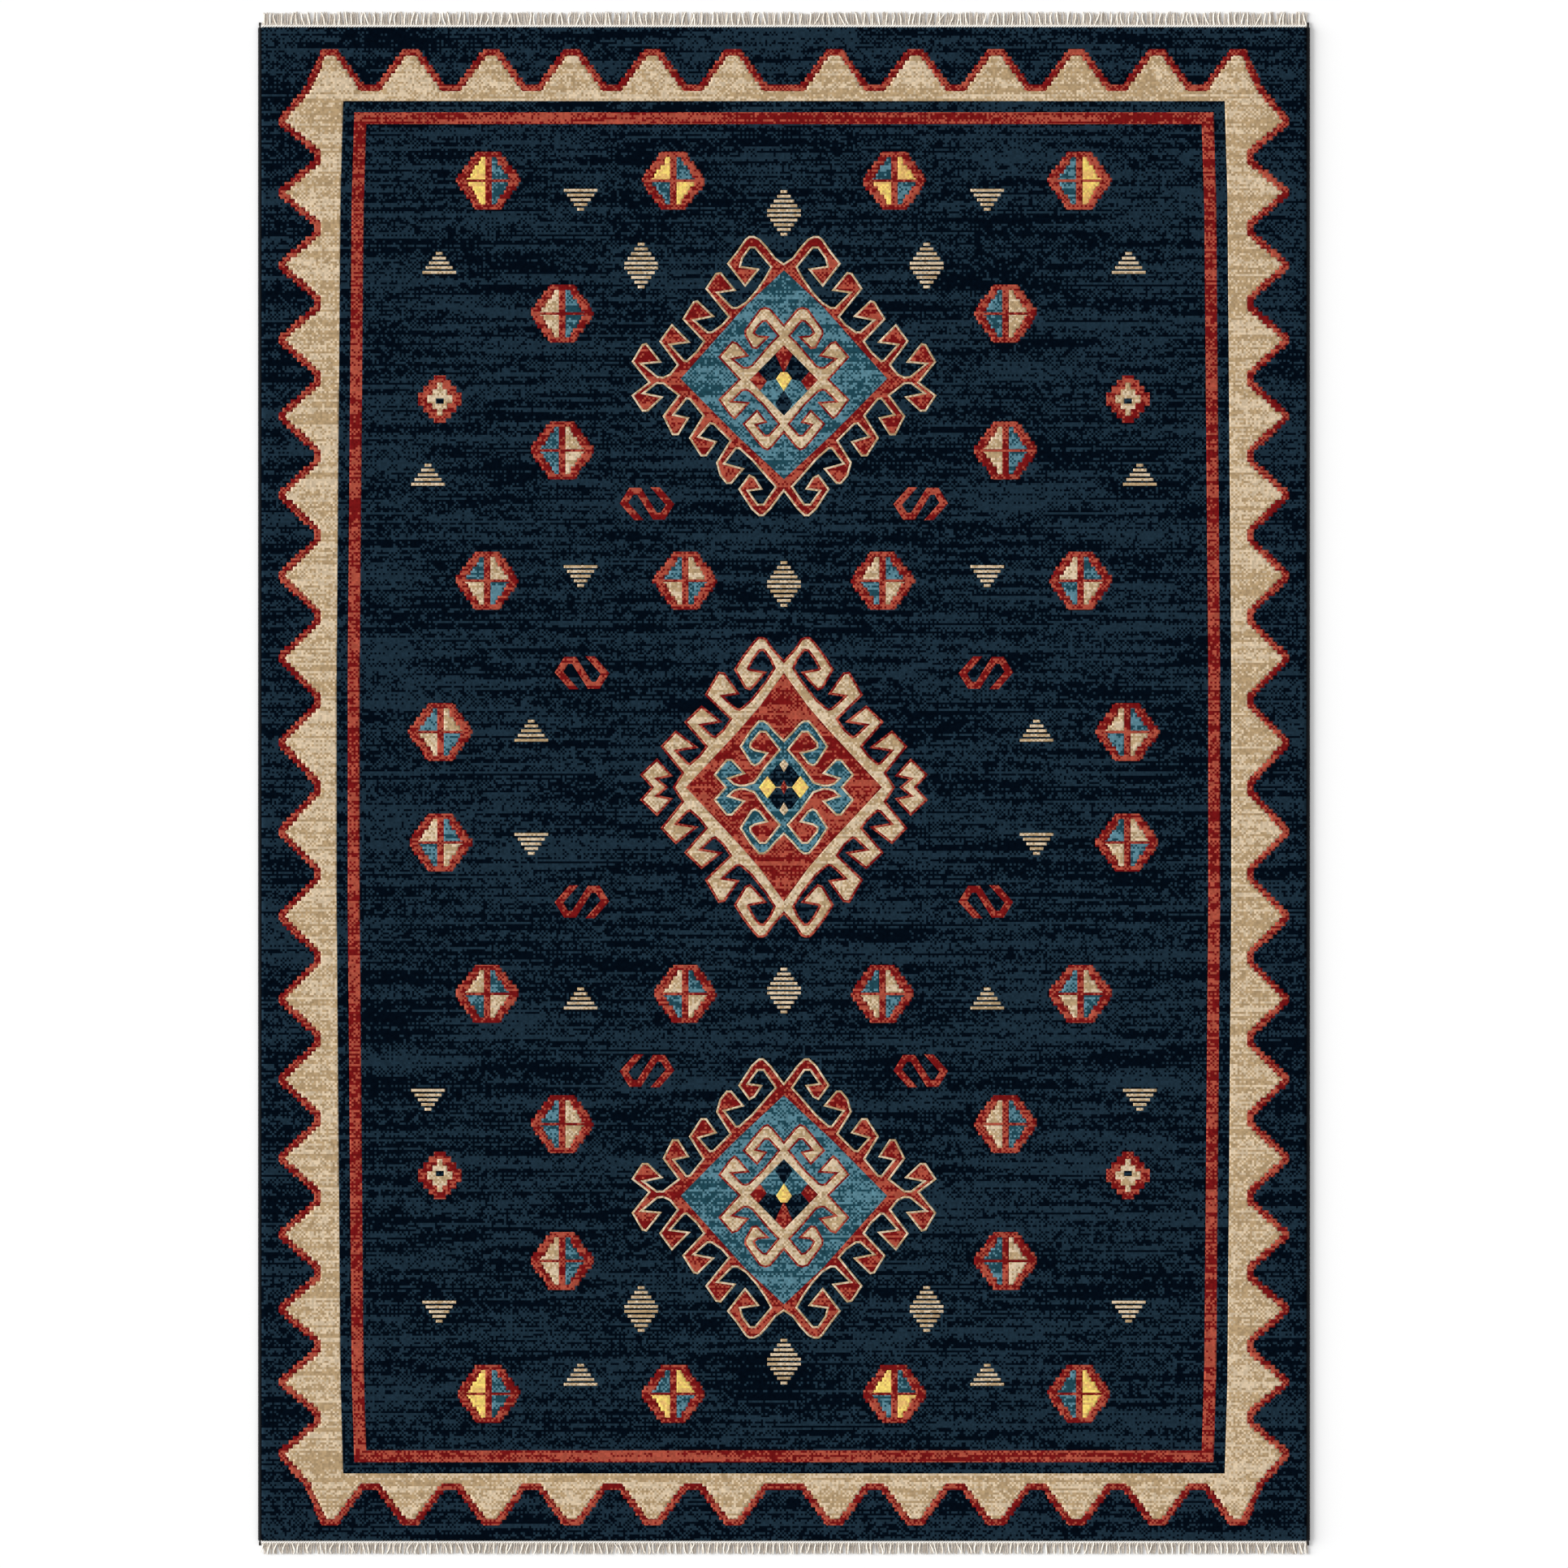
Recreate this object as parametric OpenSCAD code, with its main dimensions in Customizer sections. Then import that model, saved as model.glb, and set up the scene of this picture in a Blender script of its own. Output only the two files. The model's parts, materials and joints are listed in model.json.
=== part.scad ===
// Area rug: a power-loomed cut-pile rug with a hooked-medallion pattern, overcast long edges
// and a sewn fringe at both short ends. The underside is at z = 0, +Y runs along the length,
// and every pile piece is the area that the loom weaves in one colour of yarn.

/* [Woven body] */
// Width of the rug between its overcast edges, in mm
body_w = 1600; // [1200:10:2400]
// Length of the rug without its fringes
body_l = 2300; // [1900:10:3400]
// Height of the cut pile above the weave
pile_h = 6; // [3:0.5:15]
// Thickness of the warp and weft that hold the tufts
weave_t = 2.4; // [1.5:0.1:4]
// Thickness of the sizing that locks the tufts from below
sizing_t = 0.6; // [0.4:0.1:2]

/* [Edges and fringe] */
// Width of the yarn that overcasts each long edge
overcast_w = 6; // [4:0.5:12]
// Diameter of the cord inside the overcasting
cord_d = 2.5; // [1:0.25:3]
// Cord that hangs past the overcasting at each corner
cord_tail = 8; // [2:1:20]
// Width of the fringe tape sewn to each short end
tape_w = 5; // [3:1:20]
// Length of the free fringe strands
fringe_l = 20; // [10:1:120]
// Distance from one fringe strand to the next
strand_pitch = 6.5; // [5:0.5:20]
// Width of one fringe strand
strand_w = 4.5; // [2:0.5:4.5]
// Thickness of one fringe strand
strand_t = 2.4; // [1:0.1:4]

/* [Border] */
// From the rug's long edge to the tips of the zigzag line
side_margin = 32; // [20:1:60]
// From the rug's short edge to the peaks of the zigzag line
end_margin = 28; // [20:1:60]
// How far each zigzag tooth reaches back from its tip
tooth_depth = 54; // [30:1:65]
// Width of the red zigzag line
zigzag_w = 10; // [4:0.5:12]
// From the rug's edge to the inner edge of the cream border
border_w = 120; // [110:1:160]
// Width of the navy guard band inside the cream border
guard_gap = 17; // [8:1:30]
// Width of the red guard stripe
guard_w = 18; // [8:1:30]
// Spacing that the zigzag teeth keep to, as nearly as the rug's size allows
tooth_pitch = 120; // [100:5:200]

/* [Motifs] */
// Width of the middle medallion over its side hooks
middle_w = 428; // [300:1:520]
// Width of each end medallion over its side hooks
end_w = 456; // [300:1:560]
// Width of the thin contrasting line around the hooks
outline_w = 3; // [1:0.25:3.5]
// Width of a rosette, tip to tip
rosette_w = 98; // [60:1:120]
// Height of a rosette
rosette_h = 88; // [50:1:106]
// Width of a star flower
star_w = 66; // [40:1:90]
// Width of a double hook
hook_w = 86; // [50:1:100]
// Width of the yarn band that draws a double hook
hook_band = 10.5; // [6:0.5:12]
// Longest stripe of a striped triangle or lozenge
stripe_l = 51; // [40:1:70]
// Thickness of each stripe
stripe_t = 4.2; // [2:0.2:5]
// Distance from one stripe to the next
stripe_pitch = 7.2; // [6:0.2:10]

/* [Hidden] */
$fn = 32;

// Colours of the yarns
navy = "#0f1c2b";
cream = "#cdb48d";
red = "#96302a";
teal = "#346070";
gold = "#f0cb6b";
fringe_white = "#d9d2c6";

// Heights
base_t = sizing_t + weave_t;

// The woven field between the two overcast edges, and the pattern's own half sizes.
// The loom's repeat sits a little south of the rug's middle.
weave_w = body_w - 2 * overcast_w;
half_w = body_w / 2;
half_l = body_l / 2;
repeat_shift = -5;
field_half_w = half_w - border_w - guard_gap - guard_w;
// Border bands stand this much closer to the short ends than to the long ones
end_pull = 13;
field_half_l = half_l - border_w - guard_gap - guard_w + end_pull;

// The motifs' places below are for a field 1290 wide and 2016 long, and spread with it
spread = [field_half_w / 645, field_half_l / 1008];
end_medallion_y = 621 * spread[1];

// Stitch line on the fringe tape, and the row that ties the strands together
stitch_w = 1.6;
stitch_t = 0.8;
gimp_w = 3;
// The strands are free of the tape by this much, so that they can turn over the edge
fringe_gap = 0.4;
// The first and last strands stop this far short of the overcasting
fringe_inset = 1;
strands = floor((weave_w - 2 * fringe_inset) / strand_pitch);

// ---------------------------------------------------------------- outline helpers

function unit(v) = v / norm(v);
function beside(v) = [-v[1], v[0]];
function scaled(points, k) = [for (p = points) p * k];
function flipped(points) = [for (i = [len(points) - 1 : -1 : 0]) points[i]];

// A closed outline from the half of it at x >= 0, listed from the top down
function both_sides(half) =
    concat(half, [for (p = flipped(half)) if (p[0] > 0) [-p[0], p[1]]]);

// The right half of an outline from its upper quarter
function both_ends(quarter) =
    concat(quarter, [for (p = flipped(quarter)) if (p[1] > 0) [p[0], -p[1]]]);

// A clockwise outline grown by a distance, with its corners kept sharp
function grown(points, by) =
    let (n = len(points))
    [for (i = [0 : n - 1])
        let (before = beside(unit(points[i] - points[(i + n - 1) % n])),
             after = beside(unit(points[(i + 1) % n] - points[i])))
        points[i] + by * (before + after) / (1 + before * after)];

// A band of one width along a line of points, cut square at both ends
function band(points, width) =
    let (n = len(points),
         side = [for (i = [0 : n - 1])
            let (before = beside(unit(points[max(i, 1)] - points[max(i, 1) - 1])),
                 after = beside(unit(points[min(i, n - 2) + 1] - points[min(i, n - 2)])))
            width / 2 * (before + after) / (1 + before * after)])
    concat([for (i = [0 : n - 1]) points[i] + side[i]],
           [for (i = [n - 1 : -1 : 0]) points[i] - side[i]]);

// Copies at both sides and both ends of the pattern, mirrored as the loom repeats them
module four(x, y) {
    for (east = [-1, 1], north = [-1, 1])
        translate([east * x * spread[0], north * y * spread[1]])
            scale([east, north]) children();
}

// Copies on the middle line, at both ends
module two(y) {
    for (north = [-1, 1]) translate([0, north * y]) scale([1, north]) children();
}

module pile() {
    translate([0, repeat_shift, base_t]) linear_extrude(pile_h) children();
}

// ---------------------------------------------------------------- border outlines

// Zigzag peaks along a short end: even, and fewer or more of them as the width allows
first_peak = 77;
last_peak_inset = 110;
last_peak = half_w - last_peak_inset;
peaks = 1 + round((last_peak - first_peak) / tooth_pitch);
function peak_x(i) = first_peak + (last_peak - first_peak) * i / (peaks - 1);

// Teeth down a long side: they crowd together a little towards the corners
first_tooth = 68;
last_tooth_inset = 138;
last_tooth = half_l - last_tooth_inset;
teeth = 1 + round((last_tooth - first_tooth) / tooth_pitch);
crowding = 0.1;
function tooth_y(i) =
    let (t = i / (teeth - 1))
    first_tooth + (last_tooth - first_tooth) * ((1 + crowding) * t - crowding * t * t);

// Half lengths of the flats at the peaks and valleys of the ends and at the teeth's tips,
// and the line's corner, measured in from the rug's two edges
peak_flat = 12;
valley_flat = 9;
middle_flat = 25;
tip_flat = 5;
corner_inset = [72, 86];
peak_y = half_l - end_margin;
tip_x = half_w - side_margin;

// The outer edge of the zigzag line, upper right quarter, clockwise from the top middle
zigzag_quarter = concat(
    [[middle_flat, peak_y - tooth_depth]],
    [for (i = [0 : peaks - 1]) each concat(
        [[peak_x(i) - peak_flat, peak_y], [peak_x(i) + peak_flat, peak_y]],
        i == peaks - 1 ? [] :
            let (valley = (peak_x(i) + peak_x(i + 1)) / 2)
            [[valley - valley_flat, peak_y - tooth_depth],
             [valley + valley_flat, peak_y - tooth_depth]])],
    [[half_w, half_l] - corner_inset],
    [for (i = [teeth - 1 : -1 : 0]) each concat(
        [[tip_x, tooth_y(i) + tip_flat], [tip_x, tooth_y(i) - tip_flat]],
        i == 0 ? [] :
            let (valley = (tooth_y(i) + tooth_y(i - 1)) / 2)
            [[tip_x - tooth_depth, valley + tip_flat],
             [tip_x - tooth_depth, valley - tip_flat]])],
    [[tip_x - tooth_depth, tip_flat]]);
zigzag_edge = both_sides(both_ends(zigzag_quarter));

// The straight bands draw in by this much towards the corners, and are widest in the middle
bow = 10;
function bowed(inset) =
    let (x = half_w - inset, y = half_l - inset + end_pull)
    both_sides(both_ends([[x - bow, y], [x - 0.6 * bow, 0.87 * y], [x, 0.17 * y]]));

border_edge = bowed(border_w);
guard_edge = bowed(border_w + guard_gap);
field_edge = bowed(border_w + guard_gap + guard_w);

// ---------------------------------------------------------------- middle medallion
// Outlines are in mm from the medallion's centre, for a medallion 428 wide

middle_k = middle_w / 428;
function middle_outline(quarter) = scaled(both_sides(both_ends(quarter)), middle_k);
// The line around the middle medallion's hooks is a little heavier than the others
middle_line_w = outline_w + 0.5;

middle_hook_line = middle_outline([
    // crown hook: over the top, round its head, and back inside its eye
    [0, 188], [20, 210], [28, 223], [33, 225], [38, 225], [44, 219], [60, 198], [72, 179],
    [57, 153], [52, 151], [46, 157], [32, 173], [54, 177], [57, 180], [48, 197], [38, 210],
    [30, 211], [19, 197], [12, 181], [26, 159], [48, 131], [62, 119], [67, 116], [73, 117],
    // three hooks down the side: eye, notch, point, head, back, root
    [84, 126], [98, 140], [73, 144], [92, 171], [98, 172], [116, 141], [78, 104],
    [91, 85], [104, 74], [110, 76], [131, 96], [101, 101], [125, 120], [147, 99], [115, 62],
    [127, 46], [142, 33], [148, 35], [168, 57], [138, 62], [164, 82], [183, 62], [151, 22],
    [165, 0]]);

// The free chevron at each side: inner tip, notch, point, head, back, inner corner
chevron_half = [[181, 0], [198, 14], [175, 19], [193, 39], [214, 19], [197, 0]];
chevron_line = scaled(both_ends(chevron_half), middle_k);

middle_ground_line = middle_outline([[0, 174], [36, 124], [68, 87], [149, 0]]);

middle_inner_line = middle_outline([
    [0, 68], [15, 83], [25, 95], [31, 99], [37, 99], [49, 85], [64, 62],
    [48, 37], [44, 35], [38, 38], [28, 51], [45, 55], [53, 60], [52, 68], [37, 86],
    [27, 86], [4, 57], [25, 33], [44, 6], [59, 1], [68, 1], [77, 4],
    [88, 14], [63, 22], [80, 40], [86, 40], [103, 19], [86, 0]]);

middle_dark_line = middle_outline([[0, 33], [11, 33], [25, 14]]);

module middle_gold_plan() {
    for (east = [-1, 1])
        polygon(scaled([[east * 12, 0], [east * 25, 17], [east * 38, 0], [east * 25, -17]],
            middle_k));
}
module middle_star_plan() {
    polygon(scaled([[5, 0], [0, 11], [-5, 0], [0, -11]], middle_k));
}
module middle_cream_plan() {
    for (north = [-1, 1])
        polygon(scaled([[0, north * 23], [7, north * 35], [0, north * 43], [-7, north * 35]],
            middle_k));
    difference() {
        union() {
            polygon(scaled([[9, 0], [0, 4], [-9, 0], [0, -4]], middle_k));
            square([28 * middle_k, 1.6 * middle_k], center = true);
        }
        middle_star_plan();
        middle_gold_plan();
    }
}
module middle_dark_plan() {
    difference() {
        polygon(middle_dark_line);
        middle_gold_plan();
        middle_star_plan();
        middle_cream_plan();
    }
}
module middle_outer_plan() {
    polygon(grown(middle_hook_line, middle_line_w));
    for (east = [-1, 1]) scale([east, 1]) polygon(grown(chevron_line, middle_line_w));
}
module middle_hook_plan() {
    polygon(middle_hook_line);
    for (east = [-1, 1]) scale([east, 1]) polygon(chevron_line);
}
module middle_inner_plan() {
    polygon(grown(middle_inner_line, outline_w));
}
module middle_core_plan() {
    polygon(middle_dark_line);
    middle_gold_plan();
    middle_cream_plan();
}

// ---------------------------------------------------------------- end medallions
// For a medallion 456 wide. The north one is drawn, and the south one is its mirror image.

end_k = end_w / 456;
function end_outline(half) = scaled(both_sides(half), end_k);

end_hook_line = end_outline([
    // crown hook
    [0, 172], [15, 182], [27, 198], [38, 210], [46, 214], [52, 214], [57, 210], [70, 191],
    [83, 175], [59, 144], [42, 165], [69, 169], [65, 184], [53, 201], [43, 201],
    [33, 189], [17, 170], [27, 152], [40, 133], [56, 115], [70, 106], [79, 106],
    // four hooks down the upper side: eye, notch, point, head, back, root
    [105, 132], [78, 136], [97, 159], [102, 158], [116, 137], [81, 94],
    [93, 80], [109, 69], [117, 69], [141, 90], [111, 96], [132, 116], [136, 115],
    [151, 91], [119, 57],
    [131, 40], [147, 25], [153, 26], [177, 53], [148, 57], [170, 79], [186, 57], [159, 21],
    [172, 5], [183, 0], [193, 1], [221, 24], [191, 27], [210, 51], [214, 50],
    [228, 26], [202, -6],
    // four hooks up the lower side: back, head, point, notch, eye, root
    [228, -26], [214, -47], [208, -47], [189, -29], [218, -23], [194, -5], [183, -5],
    [157, -25], [181, -57], [168, -83], [162, -83], [148, -61], [171, -56], [149, -28],
    [142, -29], [120, -56], [141, -90], [125, -115], [119, -115], [106, -97], [133, -89],
    [113, -66], [106, -67], [79, -94], [100, -128], [95, -146], [86, -157], [81, -157],
    [65, -138], [94, -130], [74, -104], [67, -104],
    // foot hook: inside its eye, round its head, and under the bottom
    [47, -122], [22, -151], [10, -164], [30, -193], [41, -193], [58, -169], [37, -166],
    [46, -152], [52, -149], [66, -168], [47, -197], [37, -206], [32, -206], [21, -195],
    [10, -180], [0, -167]]);

end_ground_line = end_outline([[0, 165], [60, 109], [157, 0], [74, -84], [0, -153]]);

end_inner_line = end_outline([
    [0, 78], [22, 104], [28, 106], [35, 104], [57, 73], [57, 67], [47, 49], [42, 48],
    [28, 62], [40, 63], [48, 69], [43, 79], [33, 89], [26, 90], [6, 65], [19, 52],
    [47, 19], [54, 15], [62, 15], [83, 31], [58, 36], [72, 52], [78, 54], [96, 33],
    [65, -1],
    [96, -32], [80, -54], [75, -58], [70, -53], [57, -38], [84, -36], [64, -16], [58, -15],
    [52, -17], [31, -37], [5, -69], [22, -88], [30, -88], [46, -69], [30, -65], [41, -51],
    [59, -69], [40, -93], [30, -104], [25, -106], [19, -101], [0, -78]]);

end_core_line = end_outline([[0, 51], [52, -2], [0, -56]]);

module end_gold_plan() {
    polygon(end_outline([[5, 10], [12, 0], [0, -19]]));
}
module end_red_plan() {
    difference() {
        polygon(end_outline([[0, 51], [13, 37], [0, 8]]));
        end_gold_plan();
    }
    for (east = [-1, 1]) scale([east, 1])
        polygon(scaled([[52, -2], [39, 11], [26, -4], [36, -18]], end_k));
}
module end_dark_plan() {
    difference() {
        intersection() {
            polygon(end_core_line);
            union() {
                // both upper corners, down to the line that joins the side diamonds
                polygon(end_outline([[0, 60], [60, 60], [60, -2], [26, -4], [12, -1]]));
                // the bottom diamond
                polygon(end_outline([[0, -17], [13, -38], [0, -60]]));
            }
        }
        end_red_plan();
        end_gold_plan();
    }
}
module end_teal_plan() {
    difference() {
        polygon(end_core_line);
        end_red_plan();
        end_gold_plan();
        end_dark_plan();
    }
}
module end_outer_plan() { polygon(grown(end_hook_line, outline_w)); }
module end_inner_plan() { polygon(grown(end_inner_line, outline_w)); }

module north_end() { translate([0, end_medallion_y]) children(); }
module south_end() { translate([0, -end_medallion_y]) scale([1, -1]) children(); }

// ---------------------------------------------------------------- small motifs

rosette_at = [[449, 922], [168, 922], [337, 720], [337, 512], [451, 314], [150, 314],
    [522, 84]];
// Which quarters hold the light yarn: outer upper, inner upper, outer lower, inner lower
light_quarters = [[1, 0, 1, 0], [1, 0, 0, 1], [1, 0, 1, 0], [0, 1, 0, 1], [0, 1, 1, 0],
    [0, 1, 1, 0], [0, 1, 1, 0]];
gold_rosettes = 2;
star_at = [523, 590];
double_hook_at = [[208, 431], [307, 174]];
// Striped triangles: x, y and 1 if they point north in the north half
triangle_at = [[309, 893, 0], [524, 797, 1], [541, 475, 1], [309, 321, 0], [384, 86, 1]];
side_lozenge_at = [217, 793];
// On the middle line: one between the medallions, one beyond each end medallion's crown
middle_lozenge_y = [309 * spread[1], end_medallion_y + 252 * end_k];

rosette_bar = 5;
rosette_crossbar = 2;
rosette_rim = 15;
rosette_end_rim = 8;

module rosette_plan() {
    x = rosette_w / 2;
    y = rosette_h / 2;
    polygon(both_sides(both_ends([[0.37 * x, y], [0.63 * x, 0.6 * y], [0.88 * x, 0.25 * y],
        [x, 0]])));
}
// One stepped quarter of a rosette, between the bars and the rim
module quarter_plan() {
    a = rosette_bar;
    b = rosette_crossbar;
    x = rosette_w / 2 - rosette_rim - a;
    y = rosette_h / 2 - rosette_end_rim - b;
    polygon([[a, b], [a, b + y], [a + 0.22 * x, b + y], [a + 0.34 * x, b + 0.7 * y],
        [a + 0.58 * x, b + 0.5 * y], [a + 0.74 * x, b + 0.22 * y], [a + x, b]]);
}
module rosette_quarters(kinds, light) {
    for (k = kinds, i = [0 : 3])
        if (light_quarters[k][i] == light)
            four(rosette_at[k][0], rosette_at[k][1])
                scale([i % 2 == 0 ? 1 : -1, i < 2 ? 1 : -1]) quarter_plan();
}
module rosettes() {
    for (at = rosette_at) four(at[0], at[1]) rosette_plan();
}
module rosette_cream_plan() { rosette_quarters([gold_rosettes : len(rosette_at) - 1], 1); }
module rosette_gold_plan() { rosette_quarters([0 : gold_rosettes - 1], 1); }
module rosette_teal_plan() { rosette_quarters([0 : len(rosette_at) - 1], 0); }

// A stepped star: rows of squares, as steps outwards from the middle line
module stepped(steps) { polygon(both_sides(both_ends(scaled(steps, star_w / 66)))); }
module star_plan() {
    stepped([[9, 36], [9, 29], [17, 29], [17, 20], [25, 20], [25, 10], [33, 10]]);
}
module petal_plan() {
    stepped([[4, 25], [4, 15], [11, 15], [11, 6], [19, 6]]);
}
module star_eye_plan() {
    translate([0, -3]) square([12, 8] * star_w / 66, center = true);
}
module stars() { four(star_at[0], star_at[1]) children(); }

// Two hooks joined back to back, with both free ends cut level
hook_k = hook_w / 86;
hook_h = 50 * hook_k;
module double_hook_plan() {
    arm = scaled([[-6, 32], [-35, -1], [-24, -19], [-12, -19]], hook_k);
    intersection() {
        polygon(band(concat(arm, [for (p = flipped(arm)) -p]), hook_band));
        square([2 * hook_w, hook_h], center = true);
    }
}
module double_hooks_plan() {
    for (at = double_hook_at) four(at[0], at[1]) double_hook_plan();
}

module stripe(length) { square([length, stripe_t], center = true); }
step_in = stripe_l / 5;
module triangle_plan() {
    for (i = [0 : 4])
        translate([0, (i - 2) * stripe_pitch]) stripe(stripe_l - i * step_in);
}
module lozenge_plan() {
    for (i = [0 : 9])
        translate([0, (i - 4.5) * stripe_pitch])
            stripe(stripe_l - (abs(i - 4.5) - 0.5) * step_in);
}
module triangles_plan() {
    for (at = triangle_at)
        four(at[0], at[1]) scale([1, at[2] == 1 ? 1 : -1]) triangle_plan();
}
module lozenges_plan() {
    for (y = middle_lozenge_y) two(y) lozenge_plan();
    four(side_lozenge_at[0], side_lozenge_at[1]) lozenge_plan();
}

// ---------------------------------------------------------------- foundation

module back_sizing() {
    color("#b9b2a2") translate([-weave_w / 2, -half_l, 0])
        cube([weave_w, body_l, sizing_t]);
}
module ground_weave() {
    color("#cfc6b4") translate([-weave_w / 2, -half_l, sizing_t])
        cube([weave_w, body_l, weave_t]);
}

// ---------------------------------------------------------------- border pile

module frame_pile() {
    color(navy) pile() difference() {
        translate([-weave_w / 2, -half_l - repeat_shift]) square([weave_w, body_l]);
        polygon(zigzag_edge);
    }
}
module zigzag_pile() {
    color(red) pile() difference() {
        polygon(zigzag_edge);
        polygon(grown(zigzag_edge, -zigzag_w));
    }
}
module border_pile() {
    color(cream) pile() difference() {
        polygon(grown(zigzag_edge, -zigzag_w));
        polygon(border_edge);
    }
}
module guard_gap_pile() {
    color(navy) pile() difference() {
        polygon(border_edge);
        polygon(guard_edge);
    }
}
module guard_stripe_pile() {
    color(red) pile() difference() {
        polygon(guard_edge);
        polygon(field_edge);
    }
}
module field_pile() {
    color(navy) pile() difference() {
        polygon(field_edge);
        middle_outer_plan();
        north_end() end_outer_plan();
        south_end() end_outer_plan();
        rosettes();
        stars() star_plan();
        double_hooks_plan();
        triangles_plan();
        lozenges_plan();
    }
}

// ---------------------------------------------------------------- middle medallion pile

module middle_hook_outline() {
    color(red) pile() difference() {
        middle_outer_plan();
        middle_hook_plan();
    }
}
module middle_hooks() {
    color(cream) pile() difference() {
        middle_hook_plan();
        polygon(middle_ground_line);
    }
}
module middle_ground() {
    color(red) pile() difference() {
        polygon(middle_ground_line);
        middle_inner_plan();
    }
}
module middle_inner_outline() {
    color(cream) pile() difference() {
        middle_inner_plan();
        polygon(middle_inner_line);
    }
}
module middle_inner_hooks() {
    color(teal) pile() difference() {
        polygon(middle_inner_line);
        middle_core_plan();
    }
}
module middle_core_dark() { color(navy) pile() middle_dark_plan(); }
module middle_core_gold() { color(gold) pile() middle_gold_plan(); }
module middle_core_cream() { color(cream) pile() middle_cream_plan(); }
module middle_core_red() { color(red) pile() middle_star_plan(); }

// ---------------------------------------------------------------- end medallion pile

module end_hook_outline() {
    difference() {
        end_outer_plan();
        polygon(end_hook_line);
    }
}
module end_hooks() {
    difference() {
        polygon(end_hook_line);
        polygon(end_ground_line);
    }
}
module end_ground() {
    difference() {
        polygon(end_ground_line);
        end_inner_plan();
    }
}
module end_inner_outline() {
    difference() {
        end_inner_plan();
        polygon(end_inner_line);
    }
}
module end_inner_hooks() {
    difference() {
        polygon(end_inner_line);
        polygon(end_core_line);
    }
}

module north_hook_outline() { color(cream) pile() north_end() end_hook_outline(); }
module north_hooks() { color(red) pile() north_end() end_hooks(); }
module north_ground() { color(teal) pile() north_end() end_ground(); }
module north_inner_outline() { color(red) pile() north_end() end_inner_outline(); }
module north_inner_hooks() { color(cream) pile() north_end() end_inner_hooks(); }
module north_core_dark() { color(navy) pile() north_end() end_dark_plan(); }
module north_core_gold() { color(gold) pile() north_end() end_gold_plan(); }
module north_core_red() { color(red) pile() north_end() end_red_plan(); }
module north_core_teal() { color(teal) pile() north_end() end_teal_plan(); }

module south_hook_outline() { color(cream) pile() south_end() end_hook_outline(); }
module south_hooks() { color(red) pile() south_end() end_hooks(); }
module south_ground() { color(teal) pile() south_end() end_ground(); }
module south_inner_outline() { color(red) pile() south_end() end_inner_outline(); }
module south_inner_hooks() { color(cream) pile() south_end() end_inner_hooks(); }
module south_core_dark() { color(navy) pile() south_end() end_dark_plan(); }
module south_core_gold() { color(gold) pile() south_end() end_gold_plan(); }
module south_core_red() { color(red) pile() south_end() end_red_plan(); }
module south_core_teal() { color(teal) pile() south_end() end_teal_plan(); }

// ---------------------------------------------------------------- small motif pile

module rosette_frames() {
    color(red) pile() difference() {
        rosettes();
        rosette_cream_plan();
        rosette_gold_plan();
        rosette_teal_plan();
    }
}
module rosette_cream() { color(cream) pile() rosette_cream_plan(); }
module rosette_teal() { color(teal) pile() rosette_teal_plan(); }
module rosette_gold() { color(gold) pile() rosette_gold_plan(); }
module star_frames() {
    color(red) pile() stars() difference() {
        star_plan();
        petal_plan();
    }
}
module star_petals() {
    color(cream) pile() stars() difference() {
        petal_plan();
        star_eye_plan();
    }
}
module star_eyes() { color(navy) pile() stars() star_eye_plan(); }
module double_hooks() { color(red) pile() double_hooks_plan(); }
module striped_triangles() { color(cream) pile() triangles_plan(); }
module striped_lozenges() { color(cream) pile() lozenges_plan(); }

// ---------------------------------------------------------------- long edges

// Yarn wound round the cord and the weave's edge: flat against the weave, round outside
module overcast(east) {
    color("#0a0f16") scale([east, 1, 1]) translate([half_w - overcast_w / 2, half_l, 0])
        rotate([90, 0, 0]) linear_extrude(body_l) translate([0, overcast_w / 2])
            difference() {
                union() {
                    circle(d = overcast_w);
                    translate([-overcast_w / 2, -overcast_w / 2])
                        square([overcast_w / 2, overcast_w]);
                }
                circle(d = cord_d);
            }
}
module overcast_east() { overcast(1); }
module overcast_west() { overcast(-1); }

module selvedge_cord(east) {
    color("#1a1f27")
        translate([east * (half_w - overcast_w / 2), half_l + cord_tail, overcast_w / 2])
            rotate([90, 0, 0]) cylinder(d = cord_d, h = body_l + 2 * cord_tail);
}
module selvedge_cord_east() { selvedge_cord(1); }
module selvedge_cord_west() { selvedge_cord(-1); }

// ---------------------------------------------------------------- short ends

module at_end(north) { scale([1, north, 1]) translate([0, half_l, 0]) children(); }

module fringe_tape(north) {
    color(fringe_white) at_end(north)
        translate([-weave_w / 2, 0, 0]) cube([weave_w, tape_w, base_t]);
}
module fringe_tape_north() { fringe_tape(1); }
module fringe_tape_south() { fringe_tape(-1); }

module tape_stitching(north) {
    color("#efe9dd") at_end(north)
        translate([-weave_w / 2, (tape_w - stitch_w) / 2, base_t])
            cube([weave_w, stitch_w, stitch_t]);
}
module tape_stitching_north() { tape_stitching(1); }
module tape_stitching_south() { tape_stitching(-1); }

module fringe(north) {
    color(fringe_white) at_end(north) translate([0, tape_w + fringe_gap, 0])
        linear_extrude(strand_t) {
            translate([-strands * strand_pitch / 2, 0]) square([strands * strand_pitch, gimp_w]);
            for (i = [0 : strands - 1])
                translate([(i + 0.5 - strands / 2) * strand_pitch - strand_w / 2, 0])
                    square([strand_w, fringe_l]);
        }
}
module fringe_north() { fringe(1); }
module fringe_south() { fringe(-1); }

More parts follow.
